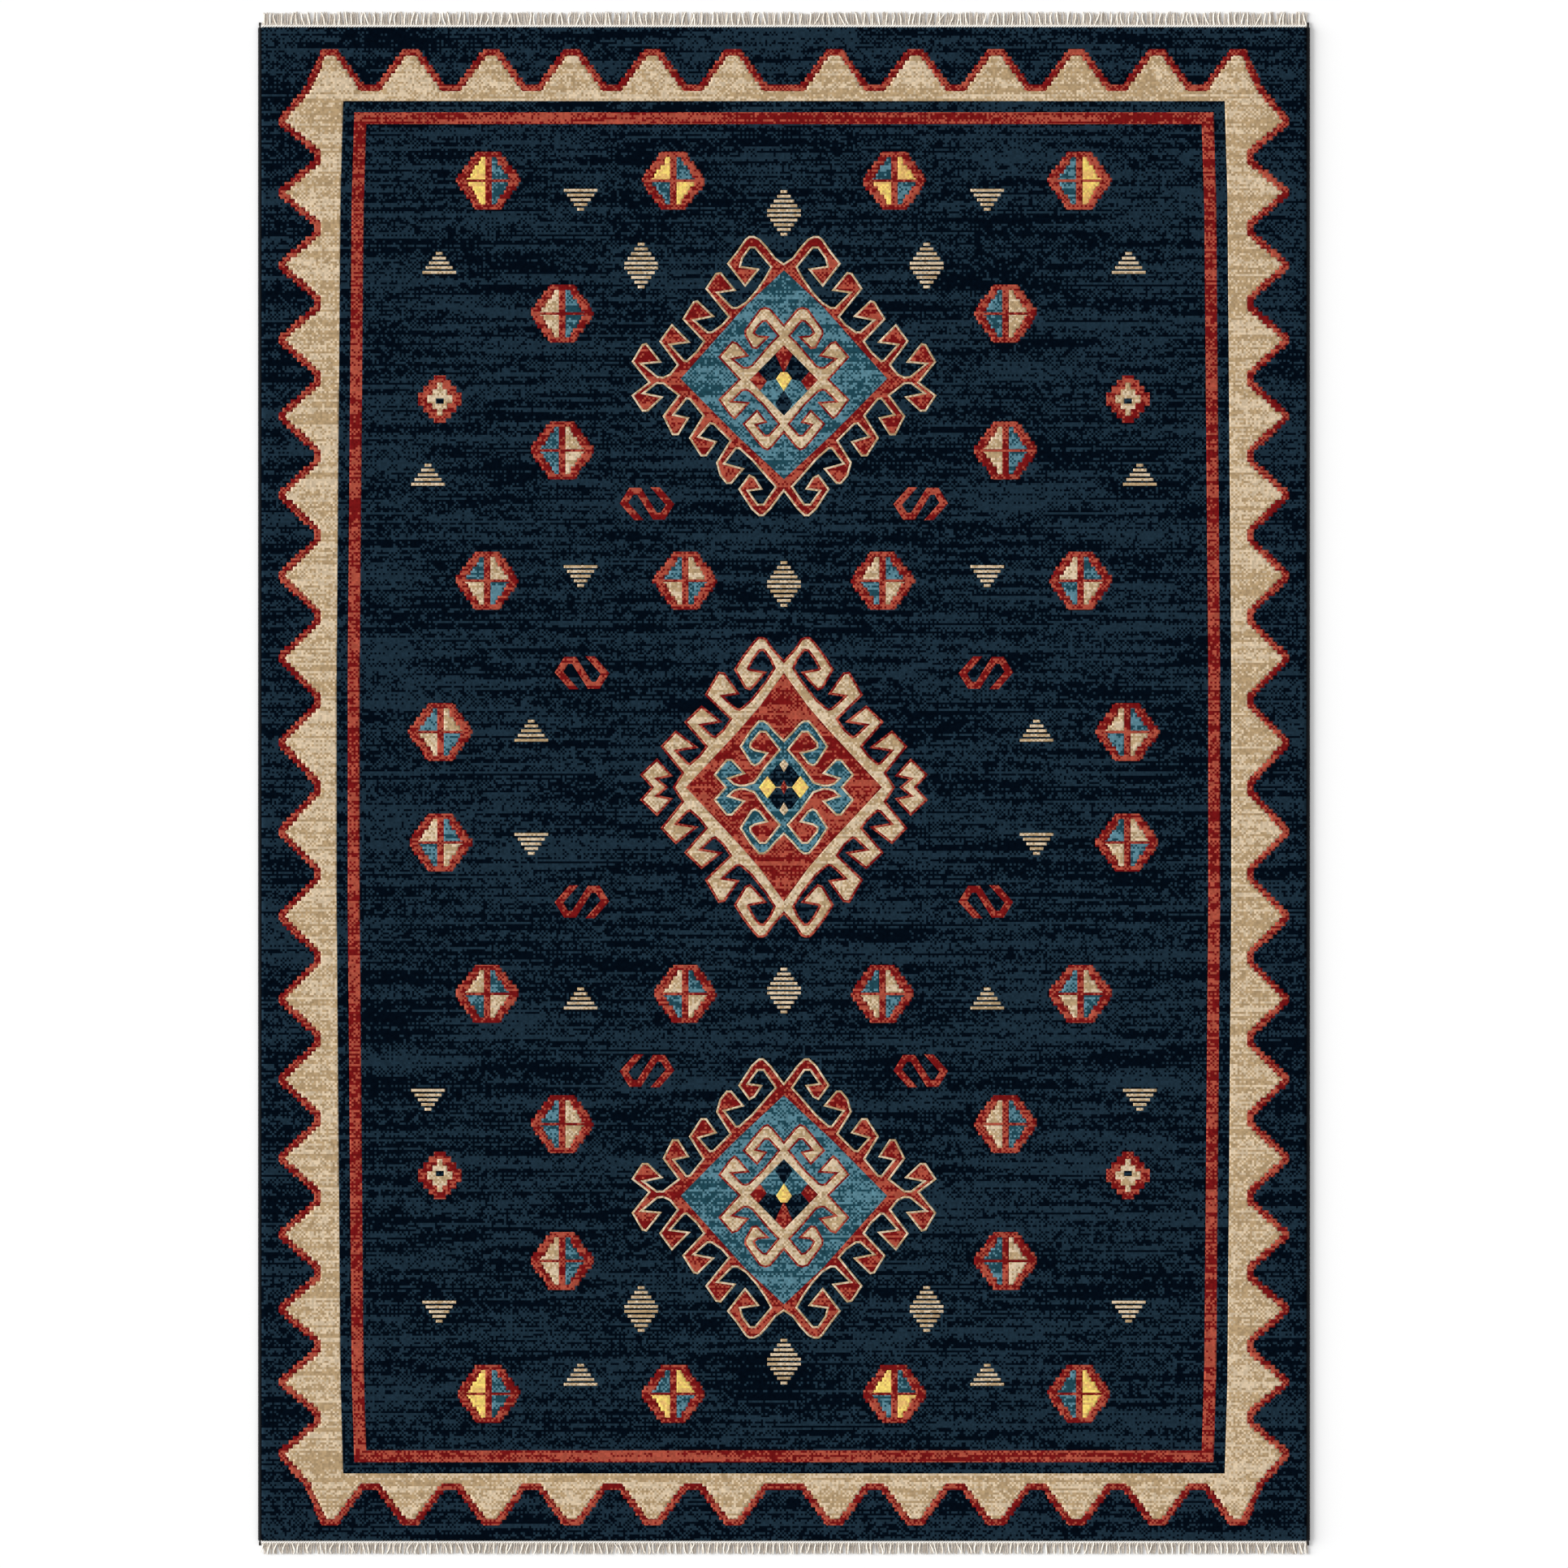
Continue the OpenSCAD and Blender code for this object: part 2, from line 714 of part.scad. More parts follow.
back_sizing();
ground_weave();
frame_pile();
zigzag_pile();
border_pile();
guard_gap_pile();
guard_stripe_pile();
field_pile();
middle_hook_outline();
middle_hooks();
middle_ground();
middle_inner_outline();
middle_inner_hooks();
middle_core_dark();
middle_core_gold();
middle_core_cream();
middle_core_red();
north_hook_outline();
north_hooks();
north_ground();
north_inner_outline();
north_inner_hooks();
north_core_dark();
north_core_gold();
north_core_red();
north_core_teal();
south_hook_outline();
south_hooks();
south_ground();
south_inner_outline();
south_inner_hooks();
south_core_dark();
south_core_gold();
south_core_red();
south_core_teal();
rosette_frames();
rosette_cream();
rosette_teal();
rosette_gold();
star_frames();
star_petals();
star_eyes();
double_hooks();
striped_triangles();
striped_lozenges();
overcast_east();
overcast_west();
selvedge_cord_east();
selvedge_cord_west();
fringe_tape_north();
fringe_tape_south();
tape_stitching_north();
tape_stitching_south();
fringe_north();
fringe_south();
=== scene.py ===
"""A power-loomed area rug with a hooked-medallion pattern, made in the order it is put together:
the foundation, the tufts of each colour, the overcast long edges, and the two fringes."""

import json

import bpy
import numpy as np
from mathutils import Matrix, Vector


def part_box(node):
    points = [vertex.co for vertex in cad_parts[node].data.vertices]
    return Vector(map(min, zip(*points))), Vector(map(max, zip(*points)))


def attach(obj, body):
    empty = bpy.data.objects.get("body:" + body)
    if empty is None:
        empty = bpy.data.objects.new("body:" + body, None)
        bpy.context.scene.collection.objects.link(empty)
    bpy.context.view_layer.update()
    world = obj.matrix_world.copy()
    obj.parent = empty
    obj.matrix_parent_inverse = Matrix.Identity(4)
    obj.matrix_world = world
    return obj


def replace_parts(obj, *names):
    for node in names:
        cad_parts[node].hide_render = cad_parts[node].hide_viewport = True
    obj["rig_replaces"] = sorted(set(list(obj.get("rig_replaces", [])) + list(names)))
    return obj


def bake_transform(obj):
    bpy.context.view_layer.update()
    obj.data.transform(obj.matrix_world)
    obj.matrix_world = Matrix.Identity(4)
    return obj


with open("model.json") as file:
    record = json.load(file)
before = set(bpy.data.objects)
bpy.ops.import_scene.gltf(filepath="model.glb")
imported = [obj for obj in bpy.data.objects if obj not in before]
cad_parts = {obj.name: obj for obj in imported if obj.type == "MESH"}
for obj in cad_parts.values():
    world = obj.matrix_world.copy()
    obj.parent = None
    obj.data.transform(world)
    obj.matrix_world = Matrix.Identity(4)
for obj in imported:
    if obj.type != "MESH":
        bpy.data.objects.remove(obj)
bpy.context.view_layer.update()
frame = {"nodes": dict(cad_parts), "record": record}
mm = 0.001


# ------------------------------------------------------------------------------ foundation
# The cloth that holds every tuft: thick jute weft packed over a cotton warp, with a coat of
# latex size rolled on from below and pressed between the wefts. Both show rows of weft as
# ribs, one for each row of tufts.

weave_low, weave_high = (np.array(corner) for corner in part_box("ground_weave"))
warps_across = 500
wefts_along = 724
knot = (weave_high - weave_low)[:2] / (warps_across, wefts_along)
weft_relief = 0.25 * mm
size_relief = 0.15 * mm


def linear(colour):
    """The linear RGBA of an sRGB hex colour."""
    parts = [int(colour[i : i + 2], 16) / 255 for i in (1, 3, 5)]
    return [c / 12.92 if c <= 0.04045 else ((c + 0.055) / 1.055) ** 2.4 for c in parts] + [1]


def add(tree, kind, inputs, **settings):
    """A new node with its settings. Each input is a value, or the socket that feeds it."""
    node = tree.nodes.new(kind)
    for name, value in settings.items():
        setattr(node, name, value)
    for socket, value in inputs.items():
        if isinstance(value, bpy.types.NodeSocket):
            tree.links.new(value, node.inputs[socket])
        else:
            node.inputs[socket].default_value = value
    return node


def fibre(name, light, dark, grain, roughness=0.9, relief=0.4, sheen=0.1):
    """Spun or woven fibre: two close tones mottled along its threads. grain is the size in
    metres of the mottling along X, Y and Z, and relief is how deep it is against the finest."""
    material = bpy.data.materials.new(name)
    material.use_nodes = True
    tree = material.node_tree
    shader = tree.nodes["Principled BSDF"]
    place = add(tree, "ShaderNodeTexCoord", {})
    scale = add(
        tree,
        "ShaderNodeMapping",
        {"Vector": place.outputs["Object"], "Scale": [1 / size for size in grain]},
    )
    mottle = add(
        tree, "ShaderNodeTexNoise", {"Vector": scale.outputs[0], "Scale": 1, "Detail": 3}
    )
    spread = add(
        tree,
        "ShaderNodeMapRange",
        {"Value": mottle.outputs[0], "From Min": 0.35, "From Max": 0.65},
    )
    tone = add(
        tree,
        "ShaderNodeMix",
        {0: spread.outputs[0], 6: linear(dark), 7: linear(light)},
        data_type="RGBA",
    )
    bump = add(
        tree,
        "ShaderNodeBump",
        {"Height": mottle.outputs[0], "Distance": relief * min(grain), "Strength": 0.6},
    )
    tree.links.new(tone.outputs[2], shader.inputs["Base Color"])
    tree.links.new(bump.outputs[0], shader.inputs["Normal"])
    shader.inputs["Roughness"].default_value = roughness
    shader.inputs["Specular IOR Level"].default_value = 0.2
    shader.inputs["Sheen Weight"].default_value = sheen
    return material


def new_piece(name, points, corners, sizes, materials, kinds=None):
    """A mesh from points, the flat list of its faces' corners, and how many each face has."""
    mesh = bpy.data.meshes.new(name)
    mesh.vertices.add(len(points))
    mesh.vertices.foreach_set("co", np.asarray(points, np.float32).ravel())
    mesh.loops.add(len(corners))
    mesh.loops.foreach_set("vertex_index", np.asarray(corners, np.int32))
    mesh.polygons.add(len(sizes))
    starts = np.concatenate([[0], np.cumsum(sizes)[:-1]])
    mesh.polygons.foreach_set("loop_start", starts.astype(np.int32))
    if kinds is not None:
        mesh.polygons.foreach_set("material_index", np.asarray(kinds, np.int32))
    for material in materials:
        mesh.materials.append(material)
    mesh.update(calc_edges=True)
    mesh.validate()
    piece = bpy.data.objects.new(name, mesh)
    bpy.context.scene.collection.objects.link(piece)
    return piece


def tubes(name, rings, material, smooth=True):
    """One mesh of many closed tubes. rings is an array of tubes, their rings, the points on
    each ring in order round it, and X, Y, Z."""
    count, length, around, _ = rings.shape
    number = np.arange(count * length * around).reshape(count, length, around)
    onward = np.roll(number, -1, axis=2)
    sides = np.stack([number[:, :-1], onward[:, :-1], onward[:, 1:], number[:, 1:]], -1)
    first = number[:, 0, ::-1]
    last = number[:, -1]
    corners = np.concatenate([sides.ravel(), first.ravel(), last.ravel()])
    sizes = np.concatenate([np.full(sides.size // 4, 4), np.full(2 * count, around)])
    piece = new_piece(name, rings.reshape(-1, 3), corners, sizes, [material])
    if smooth:
        piece.data.shade_smooth()
    return piece


def ribbed_slab(name, node, below, above, material):
    """A slab in a node's place, with a rib along X for each row of weft. below and above are
    how deep the valleys between ribs are on its two faces."""
    low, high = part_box(node)
    steps_per_rib = 4
    steps = np.arange(wefts_along * steps_per_rib + 1)
    valley = 0.5 + 0.5 * np.cos(2 * np.pi * steps / steps_per_rib)
    y = np.linspace(low.y, high.y, len(steps))
    bottom = low.z + below * valley
    top = high.z - above * valley
    east = np.full(len(steps), high.x)
    west = np.full(len(steps), low.x)
    ring = [(west, bottom), (east, bottom), (east, top), (west, top)]
    rings = np.stack([np.stack([x, y, z], -1) for x, z in ring], 1)[None, :, ::-1]
    return tubes(name, rings, material, smooth=False)


# Jute is a hard bast fibre: dull gold-brown, with long flecks along the weft
jute = fibre("woven jute", "#b39a72", "#8d7450", (9 * mm, 0.9 * mm, 0.9 * mm))
# Dried latex size is a thin milky film that dulls the jute, and lies thicker between ribs
latex_size = fibre(
    "latex size over jute", "#bfae8e", "#9c8660", (12 * mm, 1.6 * mm, 1.6 * mm), roughness=0.7
)

ground_weave = ribbed_slab("ground_cloth", "ground_weave", weft_relief, weft_relief, jute)
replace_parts(ground_weave, "ground_weave")
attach(ground_weave, "rug")

back_sizing = ribbed_slab("back_size_coat", "back_sizing", size_relief, 0, latex_size)
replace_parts(back_sizing, "back_sizing")
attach(back_sizing, "rug")


# ------------------------------------------------------------------------------ yarns
# Heat-set pile yarn in five colours. Each is creeled in a light and a dark shade that the
# loom mixes knot by knot, so that every colour is streaked along the weft like a hand-dyed
# rug. Cut ends swallow light, so that the pile is matt and its dark shades are nearly black.

# The light shade, the dark shade, and the share of knots that take the light one
yarn_shades = {
    "navy_yarn": ("#1c2e3b", "#030b15", 0.46),
    "red_yarn": ("#a64c3b", "#711415", 0.47),
    "cream_yarn": ("#d0bb9e", "#ae9470", 0.48),
    "teal_yarn": ("#557e8c", "#1f4450", 0.50),
    "gold_yarn": ("#e9cd6c", "#dbb068", 0.55),
}
# The loom's card spreads an even tone over a square of knots in this order
lattice = np.array([[0, 8, 2, 10], [12, 4, 14, 6], [3, 11, 1, 9], [15, 7, 13, 5]]) / 16
chance = np.random.default_rng(11)


def cloud(across, along):
    """A smooth random value for each knot, with features of so many knots."""
    mixes = []
    for count, size in ((wefts_along, along), (warps_across, across)):
        place = np.arange(count) / size
        part = place % 1
        mixes.append((place.astype(int), part * part * (3 - 2 * part)))
    (row, up), (column, over) = mixes
    seeds = chance.normal(size=(row[-1] + 2, column[-1] + 2))
    rows = seeds[row] * (1 - up[:, None]) + seeds[row + 1] * up[:, None]
    return rows[:, column] * (1 - over) + rows[:, column + 1] * over


def shade_plan(share):
    """Which knots take the light shade: long streaks along the weft, soft zones and small
    flecks, broken up where they meet by the lattice."""
    streaks = 0.9 * cloud(30, 1.2)
    zones = 0.4 * cloud(60, 10)
    flecks = 0.5 * cloud(2.4, 1.4)
    single_knots = 0.6 * chance.normal(size=(wefts_along, warps_across))
    value = streaks + zones + flecks + single_knots
    repeats = wefts_along // len(lattice), warps_across // len(lattice)
    value = value / value.std() + 2 * np.tile(lattice, repeats)
    return value > np.quantile(value, 1 - share)


def pile_yarn(name, colour):
    """Cut pile: each tuft takes the dye a little differently, and its fibre ends are ragged."""
    material = bpy.data.materials.new(name)
    material.use_nodes = True
    tree = material.node_tree
    shader = tree.nodes["Principled BSDF"]
    place = add(tree, "ShaderNodeTexCoord", {})
    tuft = add(
        tree,
        "ShaderNodeVectorMath",
        {0: place.outputs["Object"], 1: [*knot, 1]},
        operation="DIVIDE",
    )
    whole = add(tree, "ShaderNodeVectorMath", {0: tuft.outputs[0]}, operation="FLOOR")
    dye = add(tree, "ShaderNodeTexWhiteNoise", {"Vector": whole.outputs[0]})
    # Fibre ends are about 0.3 mm, and are drawn at 0.8 mm so that they show
    ends = add(
        tree,
        "ShaderNodeTexNoise",
        {"Vector": place.outputs["Object"], "Scale": 1.25 / mm, "Detail": 3},
    )
    both = add(
        tree,
        "ShaderNodeMath",
        {0: dye.outputs["Value"], 1: ends.outputs[0]},
        operation="ADD",
    )
    value = add(
        tree,
        "ShaderNodeMapRange",
        {"Value": both.outputs[0], "From Max": 2, "To Min": 0.6, "To Max": 1.4},
    )
    dyed = add(
        tree,
        "ShaderNodeHueSaturation",
        {"Color": linear(colour), "Value": value.outputs[0]},
    )
    bump = add(
        tree,
        "ShaderNodeBump",
        {"Height": ends.outputs[0], "Distance": 1.2 * mm, "Strength": 0.6},
    )
    tree.links.new(dyed.outputs[0], shader.inputs["Base Color"])
    tree.links.new(bump.outputs[0], shader.inputs["Normal"])
    shader.inputs["Roughness"].default_value = 1
    shader.inputs["Specular IOR Level"].default_value = 0
    return material


# The yarn of each pile node
yarn_nodes = {
    part["node"]: part["material_slot"]
    for part in frame["record"]["subparts"]
    if part["material_slot"] in yarn_shades
}
light_knots = {yarn: shade_plan(share) for yarn, (_, _, share) in yarn_shades.items()}
pile_yarns = {
    yarn: [pile_yarn(f"{yarn}_dark", dark), pile_yarn(f"{yarn}_light", light)]
    for yarn, (light, dark, _) in yarn_shades.items()
}


# ------------------------------------------------------------------------------ tufts
# The pile: tufts cut to one height, one for each crossing of warp and weft. Most outlines
# step from tuft to tuft, and the finest are drawn across them. The tufts round the rug's edge
# have nothing to lean on and splay out and down. Places in the pile are counted in knots
# from the rug's south-west corner.

pile_base = weave_high[2]
pile_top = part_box("field_pile")[1].z
uneven_cut = 0.35 * mm
splay = 1.4 * mm

tip_height = uneven_cut * chance.uniform(-1, 0.3, (wefts_along + 1, warps_across + 1))
tip_height += pile_top - pile_base
for edge in (tip_height, tip_height.T):
    edge[[0, -1]] -= splay
    edge[[1, -2]] -= 0.2 * splay


def clip(shapes, sizes, side, limit, keep_above):
    """Cuts many polygons by a line across X (side 0) or Y (side 1), and keeps one part."""
    count, most, _ = shapes.shape
    sign = 1 if keep_above else -1
    kept = np.zeros((count, most + 1, 2))
    kept_sizes = np.zeros(count, int)
    everyone = np.arange(count)
    for i in range(most):
        here = shapes[:, i]
        there = shapes[everyone, np.where(i + 1 < sizes, i + 1, 0)]
        over_here = sign * (here[:, side] - limit)
        over_there = sign * (there[:, side] - limit)
        inside = (i < sizes) & (over_here >= 0)
        kept[inside, kept_sizes[inside]] = here[inside]
        kept_sizes[inside] += 1
        crosses = (i < sizes) & ((over_here >= 0) != (over_there >= 0))
        part = (over_here[crosses] / (over_here[crosses] - over_there[crosses]))[:, None]
        cut = here[crosses] + part * (there[crosses] - here[crosses])
        kept[crosses, kept_sizes[crosses]] = cut
        kept_sizes[crosses] += 1
    return kept, kept_sizes


def clip_to_box(shapes, low, high):
    """The part of each polygon that lies in its own box, and its count of corners: none where
    it misses the box."""
    sizes = np.full(len(shapes), shapes.shape[1])
    for side in (0, 1):
        shapes, sizes = clip(shapes, sizes, side, low[:, side], True)
        shapes, sizes = clip(shapes, sizes, side, high[:, side], False)
    shapes = np.round(shapes, 4)
    onward = np.roll(shapes, -1, axis=1)
    onward[np.arange(len(shapes)), np.maximum(sizes - 1, 0)] = shapes[:, 0]
    used = np.arange(shapes.shape[1]) < sizes[:, None]
    twice = (shapes[..., 0] * onward[..., 1] - shapes[..., 1] * onward[..., 0]) * used

    # A corner that falls on the next one is dropped
    kept = used & (shapes != onward).any(2)
    order = np.argsort(~kept, axis=1, kind="stable")
    shapes = np.take_along_axis(shapes, order[..., None], 1)
    least_area = 1e-5
    return shapes, np.where(twice.sum(1) > least_area, kept.sum(1), 0)


def top_triangles(node):
    """The triangles of a node's upper face, in knots from the south-west corner."""
    mesh = frame["nodes"][node].data
    mesh.calc_loop_triangles()
    points = np.array([vertex.co for vertex in mesh.vertices])
    triangles = points[np.array([triangle.vertices for triangle in mesh.loop_triangles])]
    upper = (triangles[:, :, 2] > triangles[:, :, 2].max() - 0.1 * mm).all(1)
    return (triangles[upper][:, :, :2] - weave_low[:2]) / knot


def place_numbers(places):
    """One whole number for each place, which is the same for places that meet."""
    fine = np.round(places * 10**4).astype(np.int64)
    return fine[..., 0] * 10**8 + fine[..., 1]


def outline(triangles):
    """The outline of joined triangles, as lines with the inside on their left, each cut
    where it passes from one tuft to the next."""
    _, corners = np.unique(place_numbers(triangles), return_inverse=True)
    corners = corners.reshape(-1, 3)
    starts = corners.ravel()
    ends = np.roll(corners, -1, axis=1).ravel()
    lines = np.stack([triangles, np.roll(triangles, -1, axis=1)], 2).reshape(-1, 2, 2)

    # A line that another triangle runs the other way lies inside
    alone = ~np.isin(starts * 10**6 + ends, ends * 10**6 + starts)
    parts = []
    for start, end in lines[alone]:
        cuts = [0, 1]
        for a, b in zip(start, end):
            if abs(b - a) > 1e-9:
                between = np.arange(np.ceil(min(a, b)), np.floor(max(a, b)) + 1)
                cuts.extend((between - a) / (b - a))
        cuts = np.unique(np.clip(np.round(cuts, 7), 0, 1))
        points = start + cuts[:, None] * (end - start)
        parts.append(np.stack([points[:-1], points[1:]], 1))
    return lines[alone], np.concatenate(parts)


def knots_beside(parts):
    """The knot just inside each part of an outline, which may run between two knots."""
    along = parts[:, 1] - parts[:, 0]
    inward = np.column_stack([-along[:, 1], along[:, 0]])
    inward = inward / np.linalg.norm(inward, axis=1, keepdims=True)
    return np.floor(parts.mean(1) + 1e-4 * inward).astype(int)


def covered(lines, step=1):
    """Which tufts have the middle of their block, of step knots along, inside an outline."""
    turns = np.zeros((wefts_along // step, warps_across + 1), int)
    for (x1, y1), (x2, y2) in lines / (1, step):
        rows = np.arange(np.ceil(min(y1, y2) - 0.5), np.ceil(max(y1, y2) - 0.5)).astype(int)
        if len(rows):
            across = x1 + (rows + 0.5 - y1) / (y2 - y1) * (x2 - x1)
            np.add.at(turns, (rows, np.ceil(across - 0.5).astype(int)), 1)
    blocks = np.cumsum(turns, 1)[:, :-1] % 2 == 1
    return blocks.repeat(step, 0)


def surface(places):
    """Height of the pile over its base at each place."""
    column = np.clip(places[:, 0].astype(int), 0, warps_across - 1)
    row = np.clip(places[:, 1].astype(int), 0, wefts_along - 1)
    over = places[:, 0] - column
    up = places[:, 1] - row
    south = tip_height[row, column] * (1 - over) + tip_height[row, column + 1] * over
    north = tip_height[row + 1, column] * (1 - over) + tip_height[row + 1, column + 1] * over
    return south * (1 - up) + north * up


def tufts(node, columns=1, rows=1):
    """The tufts that a pile node stands for, as one piece, or as a few side by side so that
    no mesh is too heavy. A tuft belongs to the outline that holds its middle, but a fine
    outline shares it out."""
    yarn = yarn_nodes[node]
    triangles = top_triangles(node)
    lines, parts = outline(triangles)
    at = knots_beside(parts)
    crossed = np.zeros((wefts_along, warps_across), bool)
    crossed[at[:, 1], at[:, 0]] = True
    shared = crossed & fine_knots
    whole = np.where(by_blocks, covered(lines, 2), covered(lines)) & ~shared
    parts = parts[fine_knots[at[:, 1], at[:, 0]]]
    low = np.floor(triangles.min((0, 1)))
    high = np.ceil(triangles.max((0, 1)))
    across = np.linspace(low[0], high[0], columns + 1).astype(int)
    along = np.linspace(low[1], high[1], rows + 1).astype(int)
    for i in range(columns):
        for j in range(rows):
            name = f"{node}_tufts"
            if columns * rows > 1:
                name += f"_{i + 1}_{j + 1}"
            window = (slice(along[j], along[j + 1]), slice(across[i], across[i + 1]))
            piece = tuft_piece(name, yarn, triangles, parts, whole, shared, window)
            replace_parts(piece, node)
            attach(piece, "rug")


def tuft_piece(name, yarn, triangles, parts, whole, shared, window):
    """One piece of pile inside a window of knots: the cut tips, the sides and a flat base.
    triangles fill the outline, parts are its fine stretches, whole and shared say which
    knots lie inside it and which it crosses."""
    inside = np.zeros_like(whole)
    inside[window] = True
    row, column = np.nonzero(whole & inside)
    knots = np.column_stack([column, row])
    square = np.array([[0, 0], [1, 0], [1, 1], [0, 1]])
    tips = knots[:, None] + square

    # A shared tuft keeps the parts of it that each triangle of the outline holds
    row, column = np.nonzero(shared & inside)
    corner = np.column_stack([column, row])
    whose, boxes = [], []
    for triangle in triangles:
        meets = (corner + 1 > triangle.min(0)).all(1) & (corner < triangle.max(0)).all(1)
        for start, end in zip(triangle, np.roll(triangle, -1, axis=0)):
            inward = np.array([start[1] - end[1], end[0] - start[0]])
            meets &= (corner + 0.5 - start) @ inward + abs(inward).sum() / 2 > 0
        boxes.append(corner[meets])
        whose.append(np.broadcast_to(triangle, (meets.sum(), 3, 2)))
    boxes = np.concatenate(boxes)
    shreds, sizes = clip_to_box(np.concatenate(whose), boxes, boxes + 1)
    boxes, shreds, sizes = boxes[sizes > 0], shreds[sizes > 0], sizes[sizes > 0]
    used = np.arange(shreds.shape[1]) < sizes[:, None]

    # Sides stand where the next knot is another colour, and along fine outlines
    sides = [parts[inside[tuple(knots_beside(parts).T[::-1])]]]
    held = np.pad(whole | shared, 1)
    for i, (across, along) in enumerate([(0, -1), (1, 0), (0, 1), (-1, 0)]):
        beyond = held[1 + along : 1 + along + wefts_along, 1 + across : 1 + across + warps_across]
        row, column = np.nonzero(whole & inside & ~beyond)
        ends = square[[i, (i + 1) % 4]]
        sides.append(np.column_stack([column, row])[:, None] + ends)
    sides = np.concatenate(sides)
    walls = np.concatenate([sides, sides[:, ::-1]], 1)

    # The base is a strip under each run of whole knots in a row
    changes = np.diff(np.pad((whole & inside).astype(int), ((0, 0), (1, 1))), axis=1)
    row, start = np.nonzero(changes > 0)
    end = np.nonzero(changes < 0)[1]
    base = np.stack([start, row, start, row + 1, end, row + 1, end, row], 1).reshape(-1, 4, 2)

    # Corners are 1 at the tips and 0 at the base. The last faces are the shreds from below
    places = [tips.reshape(-1, 2), shreds[used], walls.reshape(-1, 2), base.reshape(-1, 2)]
    raised = [np.ones(len(places[0])), np.ones(len(places[1])), np.tile([0, 0, 1, 1], len(walls))]
    places = np.concatenate([*places, shreds[:, ::-1][used[:, ::-1]]])
    raised = np.concatenate([*raised, np.zeros(4 * len(base) + used.sum())])
    numbers = place_numbers(places) * 2 + raised.astype(int)
    _, chosen, corners = np.unique(numbers, return_index=True, return_inverse=True)
    heights = pile_base + raised * surface(places)
    points = np.column_stack([weave_low[:2] + places * knot, heights])[chosen]
    tip_sizes, wall_sizes, base_sizes = [np.full(len(part), 4) for part in (tips, walls, base)]
    at = np.concatenate([knots, boxes, knots_beside(sides)])
    kinds = light_knots[yarn][at[:, 1], at[:, 0]].astype(int)
    kinds = np.concatenate([kinds, np.zeros(len(base) + len(sizes), int)])
    sizes = np.concatenate([tip_sizes, sizes, wall_sizes, base_sizes, sizes])
    return new_piece(name, points, corners, sizes, pile_yarns[yarn], kinds)


# The slanting edges of the border and the rosettes are stepped two rows at a time. Every
# other outline is drawn finer than the knots, and so are the thin bars across the rosettes.
stepped = ("frame_pile", "zigzag_pile", "border_pile", "rosette_")
fine_knots = np.zeros((wefts_along, warps_across), bool)
for node in frame["nodes"]:
    # The field's outlines are those of all the others
    if node in yarn_nodes and node != "field_pile":
        _, parts = outline(top_triangles(node))
        if node.startswith(stepped):
            parts = parts[(np.abs(parts[:, 1] - parts[:, 0]) < 1e-6).any(1)]
        at = knots_beside(parts)
        fine_knots[at[:, 1], at[:, 0]] = True
by_blocks = ~fine_knots.reshape(wefts_along // 2, 2, warps_across).any(1).repeat(2, 0)


# ------------------------------------------------------------------------------ border pile
# From the outside in: a navy ground, the red zigzag that outlines the border, the cream
# border, a navy guard band, and a red guard stripe, all tufted in the same rows.

for node in ("frame_pile", "zigzag_pile", "border_pile", "guard_gap_pile", "guard_stripe_pile"):
    tufts(node)


# ------------------------------------------------------------------------------ field pile
# The navy field that holds every motif. It is one area on the loom, and is made here as
# twelve pieces that meet between tufts.

tufts("field_pile", columns=3, rows=4)


# ------------------------------------------------------------------------------ medallions
# Three lozenges edged with latch hooks. Each is a hooked band with a thin line round it, a
# plain ground, a smaller hooked diamond with its own line, and a core in several colours:
# cream hooks on red in the middle one, and red hooks on teal in the two end ones.

lozenge_parts = ("hook_outline", "hooks", "ground", "inner_outline", "inner_hooks")
cores = {
    "middle": ("core_dark", "core_gold", "core_cream", "core_red"),
    "north": ("core_dark", "core_gold", "core_red", "core_teal"),
    "south": ("core_dark", "core_gold", "core_red", "core_teal"),
}
for medallion, core_parts in cores.items():
    for part in lozenge_parts + core_parts:
        tufts(f"{medallion}_{part}")


# ------------------------------------------------------------------------------ small motifs
# Quartered rosettes, stepped stars, double hooks, and triangles and lozenges of stripes,
# scattered over the field, with the same motifs at both sides and both ends.

for node in (
    "rosette_frames",
    "rosette_cream",
    "rosette_teal",
    "rosette_gold",
    "star_frames",
    "star_petals",
    "star_eyes",
    "double_hooks",
    "striped_triangles",
    "striped_lozenges",
):
    tufts(node)


# ------------------------------------------------------------------------------ long edges
# Each long edge is overcast by machine: near-black yarn wound close round a cord and the
# edge of the weave. The cord is left a little long and hangs out at every corner.

wrap_pitch = 2.4 * mm
wrap_relief = 0.4 * mm
wrap_slant = 0.5
rings_per_wrap = 6
cord_twist = 5 * mm
cord_droop = 1.2 * mm
loosened_length = 8 * mm
hidden_tail = 4 * mm
tail_rings = 44

# Overcasting yarn is a smooth twisted filament with a slight shine along each wrap
overcast_yarn = fibre(
    "overcasting yarn", "#0b1119", "#04070b", (0.8 * mm, 0.3 * mm, 0.8 * mm), roughness=0.7
)
# The cord is dark undyed fibre, a touch browner than the yarn round it
edge_cord = fibre(
    "selvedge cord", "#2a221c", "#120e0c", (0.5 * mm, 2 * mm, 0.5 * mm), roughness=0.9
)


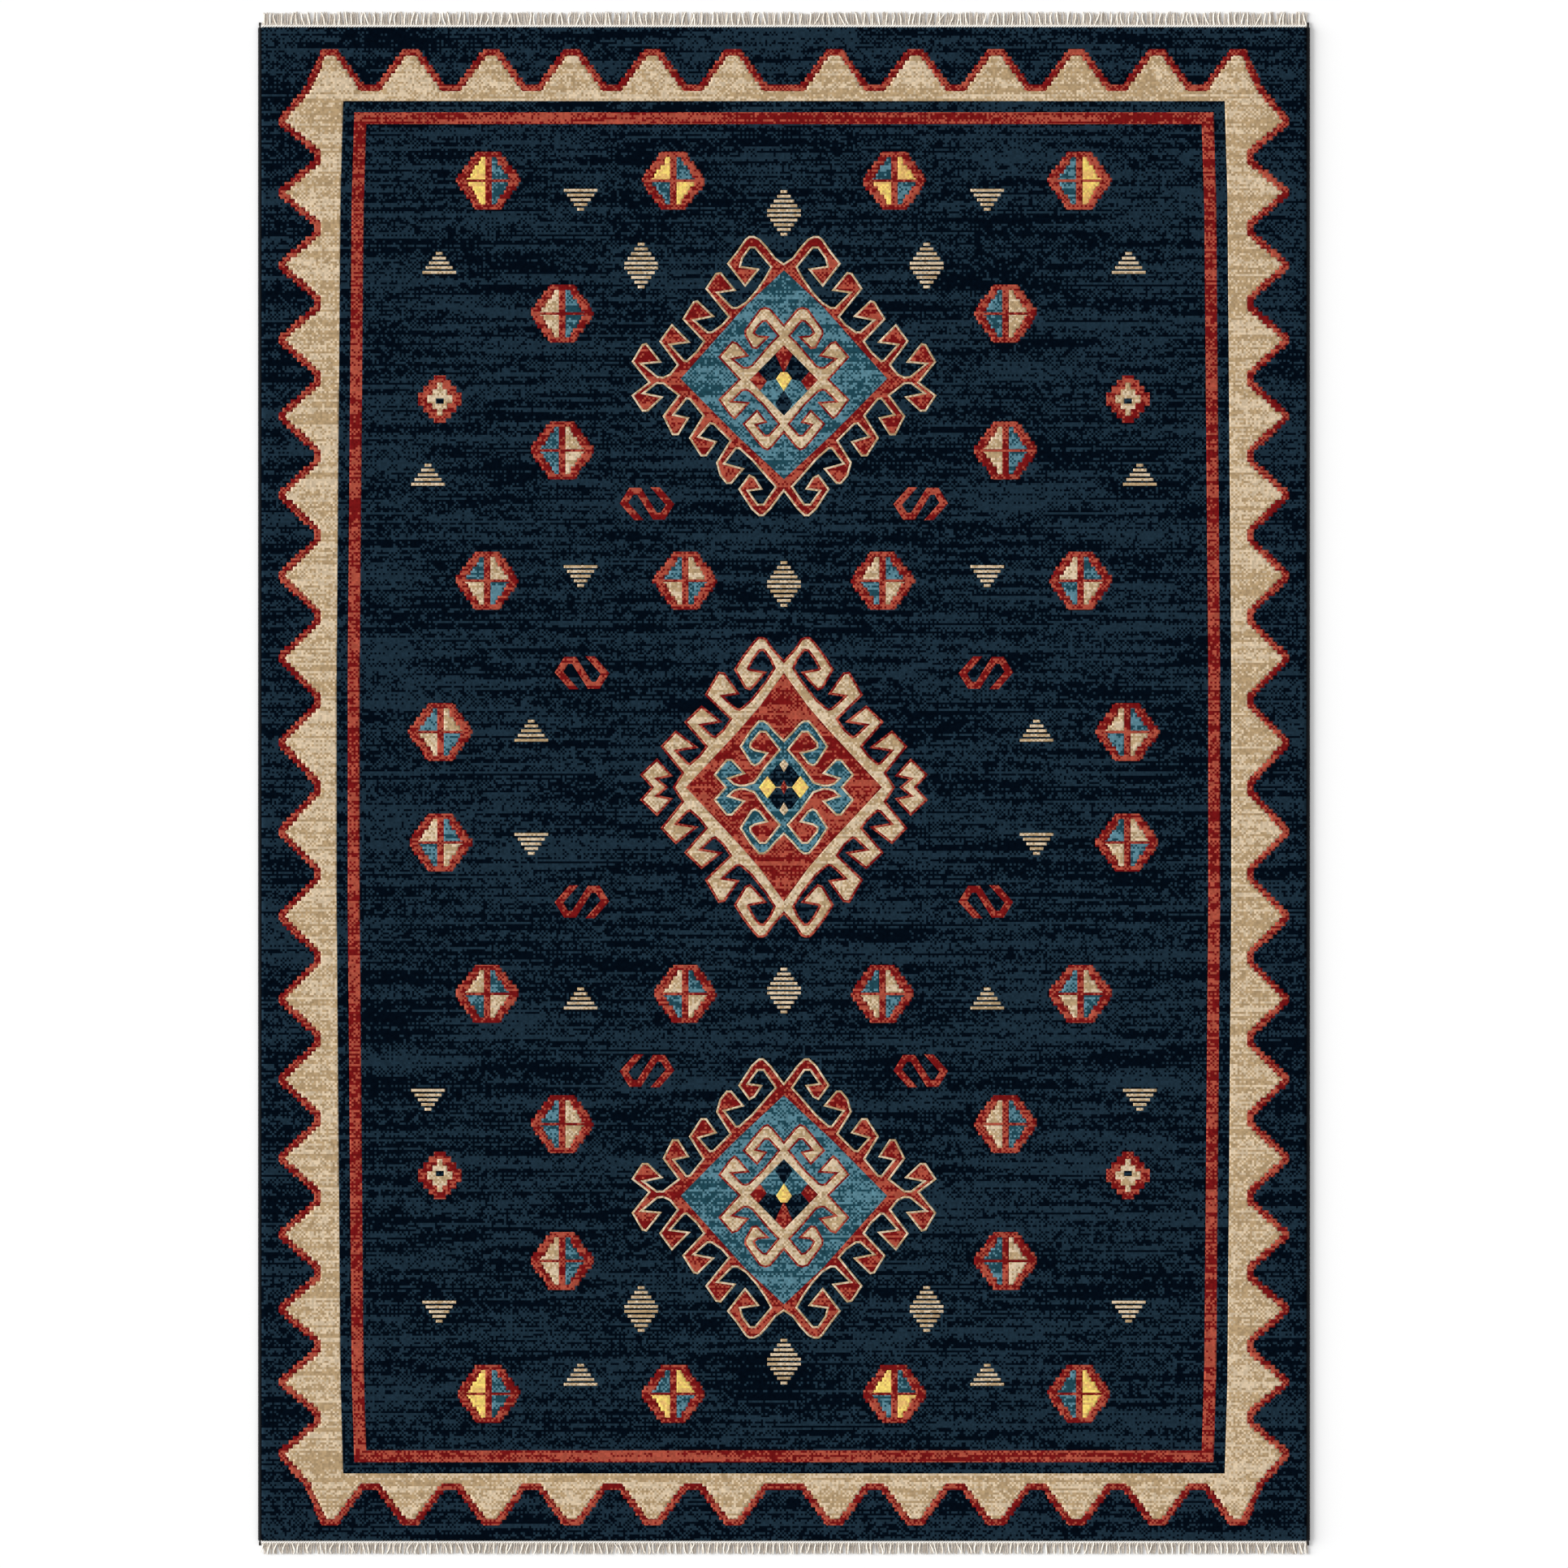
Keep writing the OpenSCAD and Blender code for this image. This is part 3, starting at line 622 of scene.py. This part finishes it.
def overcasting(side, name):
    """Wraps side by side down one long edge: flat against the weave and round outside."""
    low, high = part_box(f"overcast_{side}")
    outward = 1 if high.x > 0 else -1
    radius = (high.z - low.z) / 2
    wraps = round((high.y - low.y) / wrap_pitch)
    y = np.linspace(low.y, high.y, wraps * rings_per_wrap + 1)[:, None]
    angle = np.radians(np.linspace(-90, 90, 9))[None]
    turn = 2 * np.pi * y / wrap_pitch + wrap_slant * angle
    swell = radius - wrap_relief * (0.5 - 0.5 * np.cos(turn))
    middle = (low.x + high.x) / 2
    x = middle + outward * swell * np.cos(angle)
    z = low.z + radius + swell * np.sin(angle)
    inner = np.full_like(y, low.x if outward > 0 else high.x)
    x = np.concatenate([inner, x, inner], 1)
    z = np.concatenate([z[:, :1], z, z[:, -1:]], 1)
    rings = np.stack([x, np.broadcast_to(y, x.shape), z], -1)[None]
    if outward > 0:
        rings = rings[:, :, ::-1]
    return tubes(name, rings, overcast_yarn)


def twisted_cord(side, name):
    """The cord inside the overcasting: two plies, whose twist shows only where it hangs out
    at the corners, and which has swollen and drooped a little there. It has rings only at
    its two tails, since the wraps hide the rest."""
    low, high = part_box(f"selvedge_cord_{side}")
    inner_low, inner_high = (corner.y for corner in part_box(f"overcast_{side}"))
    tail = high.y - inner_high + hidden_tail
    south = np.linspace(low.y, low.y + tail, tail_rings)
    north = np.linspace(high.y - tail, high.y, tail_rings)
    y = np.concatenate([south, north])[:, None]
    angle = np.linspace(0, 2 * np.pi, 12, endpoint=False)[None]
    loose = np.clip(np.maximum(y - inner_high, inner_low - y) / loosened_length, 0, 1)
    radius = (high.z - low.z) / 2 * (1 + 0.5 * loose)
    ply = radius * (0.8 + 0.2 * np.abs(np.cos(angle - np.pi * y / cord_twist)))
    x = (low.x + high.x) / 2 + ply * np.cos(angle)
    z = (low.z + high.z) / 2 - cord_droop * loose + ply * np.sin(angle)
    rings = np.stack([x, np.broadcast_to(y, x.shape), z], -1)[None, :, ::-1]
    return tubes(name, rings, edge_cord)


for side in ("east", "west"):
    wound = overcasting(side, f"overcast_{side}_wraps")
    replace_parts(wound, f"overcast_{side}")
    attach(wound, "rug")
    cord = twisted_cord(side, f"selvedge_cord_{side}_plies")
    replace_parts(cord, f"selvedge_cord_{side}")
    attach(cord, "rug")


# ------------------------------------------------------------------------------ fringe tape
# A narrow cotton tape closes each short end, and a thick chain stitch runs down it to hold
# the fringe. Both are bleached cotton, and the stitch is the whitest thing on the rug.

tape_rib = 1.6 * mm
rings_per_rib = 3
tape_relief = 0.15 * mm
tape_roundness = 0.45
stitch_length = 4 * mm
stitch_radius = 1.1 * mm
rings_per_stitch = 6

# Woven cotton tape and its thread: bleached, soft and matt
cotton_tape = fibre(
    "bleached cotton tape", "#fbf7ef", "#e6dfd2", (0.7 * mm, 1.5 * mm, 1 * mm), relief=0.3
)
cotton_thread = fibre(
    "cotton sewing thread", "#fffffc", "#f6f1e8", (1.2 * mm, 0.4 * mm, 0.4 * mm), relief=0.3
)


def tape(end, name):
    """The tape as a soft-cornered bar with its woven ribs across."""
    low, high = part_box(f"fringe_tape_{end}")
    ribs = round((high.x - low.x) / tape_rib)
    x = np.linspace(low.x, high.x, ribs * rings_per_rib + 1)[:, None]
    angle = np.radians(np.arange(0, 360, 30))[None]
    swell = 1 - tape_relief / (high.z - low.z) * (1 - np.cos(2 * np.pi * x / tape_rib))
    # A superellipse: nearly the full bar, with its corners pressed round
    waves = np.cos(angle), np.sin(angle)
    across, up = [np.sign(wave) * np.abs(wave) ** tape_roundness for wave in waves]
    y = (low.y + high.y) / 2 + (high.y - low.y) / 2 * across * swell
    z = (low.z + high.z) / 2 + (high.z - low.z) / 2 * up * swell
    rings = np.stack([np.broadcast_to(x, y.shape), y, z], -1)[None]
    return tubes(name, rings, cotton_tape)


def chain_stitch(end, name):
    """Two thick soft threads on the tape that swing apart and cross once in each stitch."""
    low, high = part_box(f"tape_stitching_{end}")
    stitches = round((high.x - low.x) / stitch_length)
    x = np.linspace(low.x, high.x, stitches * rings_per_stitch + 1)[:, None]
    angle = np.radians(np.arange(0, 360, 60))[None]
    turn = np.pi * x / stitch_length
    threads = []
    for way in (-1, 1):
        y = (low.y + high.y) / 2 + stitch_radius * (way * np.sin(turn) + np.cos(angle))
        z = low.z + stitch_radius * (1 + way * 0.3 * np.cos(turn) + np.sin(angle))
        threads.append(np.stack([np.broadcast_to(x, y.shape), y, z], -1))
    return tubes(name, np.stack(threads), cotton_thread)


for end in ("north", "south"):
    band = tape(end, f"fringe_tape_{end}_band")
    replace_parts(band, f"fringe_tape_{end}")
    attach(band, "rug")
    stitching = chain_stitch(end, f"tape_stitching_{end}_chain")
    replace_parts(stitching, f"tape_stitching_{end}")
    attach(stitching, "rug")


# ------------------------------------------------------------------------------ fringes
# Twisted cotton strands sewn into the tape's stitching, so close that they nearly hide the
# floor, with whiter ones lying loose over them. They lean together in tufts, and were cut
# after sewing. Each strand lies over the tape and then drops to the floor.

strand_pitch = 2.7 * mm
strand_radius = 1.35 * mm
loose_pitch = 10.5 * mm
loose_radius = 1.3 * mm
strand_twist = 6 * mm
rings_per_strand = 17
strand_root = 2.2 * mm
fall_length = 5 * mm
lean_together = 26 * mm
cut_short = {"north": (0.5 * mm, 4 * mm), "south": (3.5 * mm, 5.5 * mm)}

# Grey-beige carded cotton, each strand a little different; and a near-white cotton for the
# loose strands on top, whose whiteness is painted highlight
carded_cotton = fibre(
    "carded cotton strands", "#d3c9bd", "#b3a799", (2.4 * mm, 24 * mm, 6 * mm), relief=0.1
)
highlit_loose_cotton = fibre(
    "bleached cotton strands", "#fffaf0", "#ece2d4", (2.4 * mm, 12 * mm, 6 * mm), relief=0.1
)


def strands(end, name, pitch, radius, lift, lean, material):
    """Strands at about one pitch along an end, each with its own lean, curl and length."""
    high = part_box(f"fringe_{end}")[1 if end == "north" else 0].y
    tape_low, tape_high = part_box(f"fringe_tape_{end}")
    outward = 1 if high > 0 else -1
    seam = tape_low.y if outward > 0 else tape_high.y
    edge = weave_high[0] - radius
    count = int(2 * edge / pitch)
    start = np.linspace(-edge, edge, count)
    clumps = np.linspace(-edge, edge, int(2 * edge / lean_together))
    together = np.interp(start, clumps, chance.normal(size=len(clumps)))[:, None, None]
    start = (start + chance.uniform(-0.3, 0.3, count) * pitch)[:, None, None]
    part = np.linspace(0, 1, rings_per_strand)[None, :, None]
    angle = np.radians(np.arange(0, 360, 60))[None, None]
    tilt = chance.normal(size=(count, 1, 1))
    curl = chance.normal(size=(count, 1, 1))
    trim = chance.uniform(*cut_short[end], size=(count, 1, 1))
    length = abs(high - seam) - strand_root - trim
    sideways = lean * ((tilt + together) * part + 0.6 * curl * np.sin(np.pi * part) * part)
    along = strand_root + length * part
    fall = np.clip((along - tape_high.y + tape_low.y) / fall_length, 0, 1)
    rest = radius + lift
    top = tape_high.z + radius * 0.6
    height = top + (rest - top) * fall * fall * (3 - 2 * fall)

    # A strand thins towards its cut end, and its two plies make it an oval that turns
    girth = radius * (1 - 0.2 * part - 0.35 * part**6)
    girth = girth * (0.88 + 0.12 * np.cos(2 * angle - 2 * np.pi * along / strand_twist))
    x = start + sideways + girth * np.cos(angle)
    z = height + girth * np.sin(angle)
    y = np.broadcast_to(seam + outward * along, x.shape)
    rings = np.stack([x, y, z], -1)
    if outward > 0:
        rings = rings[:, :, ::-1]
    return tubes(name, rings, material)


for end, outward in (("north", 1), ("south", -1)):
    sorts = (
        ("strands", strand_pitch, strand_radius, 0, 1.7 * mm, carded_cotton),
        # The loose strands on top are painted whiter than the rest, as painted highlight
        ("loose_strands", loose_pitch, loose_radius, 1.4 * mm, 3.2 * mm, highlit_loose_cotton),
    )
    for kind, pitch, radius, lift, lean, material in sorts:
        bundle = strands(end, f"fringe_{end}_{kind}", pitch, radius, lift, lean, material)
        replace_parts(bundle, f"fringe_{end}")
        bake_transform(bundle)


# ------------------------------------------------------------------------------ the cloth
# The foundation is one sheet of cloth laid flat, and everything else is tufted through it,
# wound round it or sewn to it.


# ------------------------------------------------------------------------------ the studio
# A white floor, a broad lamp low to the left, and even light from all round. The camera looks
# straight down through a long lens at the whole rug.

floor_mesh = bpy.data.meshes.new("floor")
floor_reach = 20
floor_drop = 0.3 * mm
floor_corners = [(-1, -1), (1, -1), (1, 1), (-1, 1)]
floor_mesh.from_pydata(
    [(x * floor_reach, y * floor_reach, -floor_drop) for x, y in floor_corners],
    [],
    [(0, 1, 2, 3)],
)
floor = bpy.data.objects.new("floor", floor_mesh)
bpy.context.scene.collection.objects.link(floor)
floor_paint = bpy.data.materials.new("matt white floor")
floor_paint.use_nodes = True
floor_shader = floor_paint.node_tree.nodes["Principled BSDF"]
floor_shader.inputs["Base Color"].default_value = linear("#f7f7f7")
floor_shader.inputs["Roughness"].default_value = 1
floor_shader.inputs["Specular IOR Level"].default_value = 0
floor_mesh.materials.append(floor_paint)

world = bpy.data.worlds.new("studio")
world.use_nodes = True
world.node_tree.nodes["Background"].inputs["Color"].default_value = (1, 1, 1, 1)
world.node_tree.nodes["Background"].inputs["Strength"].default_value = 0.64
bpy.context.scene.world = world

lamp_data = bpy.data.lights.new("lamp", "SUN")
lamp_data.energy = 4
lamp_data.angle = np.radians(40)
lamp = bpy.data.objects.new("lamp", lamp_data)
lamp.rotation_euler = np.radians((-6, -69, 0))
bpy.context.scene.collection.objects.link(lamp)

view_across = 1.037 * (weave_high - weave_low)[1]
camera_height = 12
camera_data = bpy.data.cameras.new("camera")
camera_data.sensor_width = 36
camera_data.lens = camera_data.sensor_width * camera_height / view_across
camera_data.clip_end = 100
camera = bpy.data.objects.new("camera", camera_data)
camera.location = (0, 0, camera_height)
bpy.context.scene.collection.objects.link(camera)
bpy.context.scene.camera = camera
bpy.context.scene.view_settings.view_transform = "Standard"
